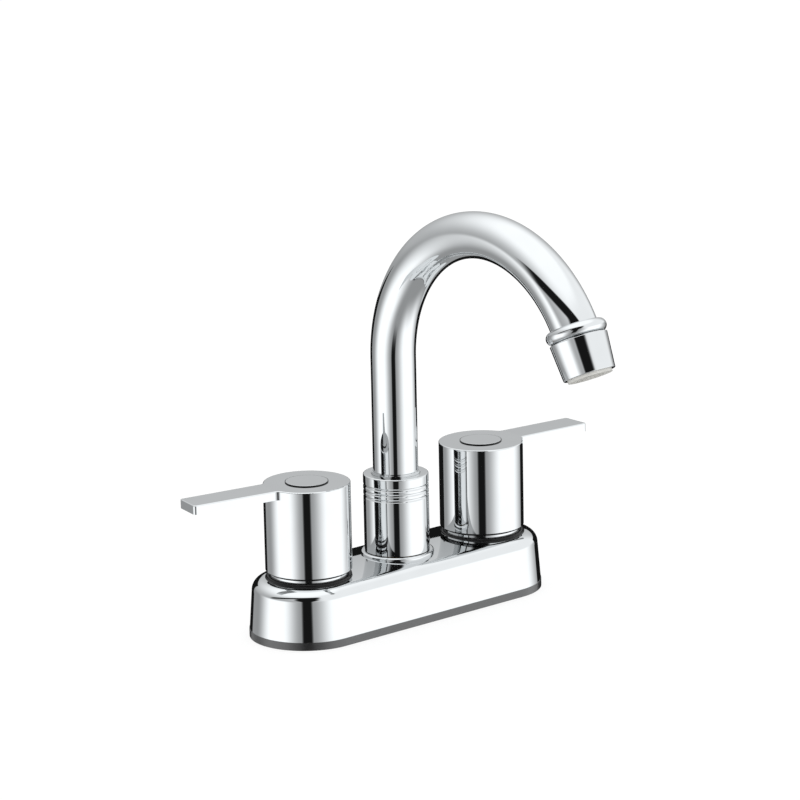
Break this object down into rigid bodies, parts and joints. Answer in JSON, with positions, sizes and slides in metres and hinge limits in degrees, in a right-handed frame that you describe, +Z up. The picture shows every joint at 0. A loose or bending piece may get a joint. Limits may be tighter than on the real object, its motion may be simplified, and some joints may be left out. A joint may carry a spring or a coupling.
{
  "type": "kitchen faucet",
  "caption": "Centreset faucet: oblong chromed base on a gasket, quarter-turn lever handles for hot and cold, and a high arc spout that swivels and ends in an aerator.",
  "frame": {"origin": "centre of the gasket's underside, on the deck", "axes": "+Z up, -Y towards the user and the spout's outlet, -X to the hot side, +X to the cold side"},
  "size_m": [0.2176, 0.1613, 0.2364],
  "materials": {
    "chrome": "polished chrome plate",
    "brass": "turned and cast, unplated",
    "rubber": "matte black",
    "white_plastic": "moulded, off-white",
    "steel": "plain stainless",
    "ceramic": "lapped"
  },
  "bodies": {
    "base": {"base_cover": "chrome", "cold_bonnet_ring": "chrome", "cold_cartridge_body": "brass", "cold_cartridge_o_ring": "rubber", "cold_fixed_disc": "ceramic", "cold_mounting_nut": "brass", "cold_mounting_washer": "steel", "cold_seat_seal": "rubber", "cold_shank": "brass", "deck_gasket": "rubber", "hot_bonnet_ring": "chrome", "hot_cartridge_body": "brass", "hot_cartridge_o_ring": "rubber", "hot_fixed_disc": "ceramic", "hot_mounting_nut": "brass", "hot_mounting_washer": "steel", "hot_seat_seal": "rubber", "hot_shank": "brass", "spout_bearing_washer": "white_plastic", "spout_bush": "chrome", "spout_nut": "chrome", "waterway_body": "brass"},
    "hot_lever": {"hot_handle": "chrome", "hot_handle_screw": "steel", "hot_index_button": "chrome", "hot_cartridge_stem": "brass", "hot_stem_o_ring": "rubber", "hot_stem_clip": "steel", "hot_moving_disc": "ceramic"},
    "cold_lever": {"cold_handle": "chrome", "cold_handle_screw": "steel", "cold_index_button": "chrome", "cold_cartridge_stem": "brass", "cold_stem_o_ring": "rubber", "cold_stem_clip": "steel", "cold_moving_disc": "ceramic"},
    "spout": {"spout_tube": "chrome", "spout_stub": "brass", "spout_o_ring_lower": "rubber", "spout_o_ring_upper": "rubber", "aerator_adapter": "chrome", "aerator_housing": "chrome", "aerator_washer": "rubber", "aerator_insert": "white_plastic", "aerator_screen": "steel"}
  },
  "joints": [
    {"name": "hot_turn", "type": "hinge", "parent": "base", "child": "hot_lever", "pos_m": [-0.0508, 0, 0.05], "axis": [0, 0, 1], "range_deg": [0, 90]},
    {"name": "cold_turn", "type": "hinge", "parent": "base", "child": "cold_lever", "pos_m": [0.0508, 0, 0.05], "axis": [0, 0, 1], "range_deg": [-90, 0]},
    {"name": "spout_swivel", "type": "hinge", "parent": "base", "child": "spout", "pos_m": [0, 0, 0.05], "axis": [0, 0, 1], "continuous": true}
  ]
}
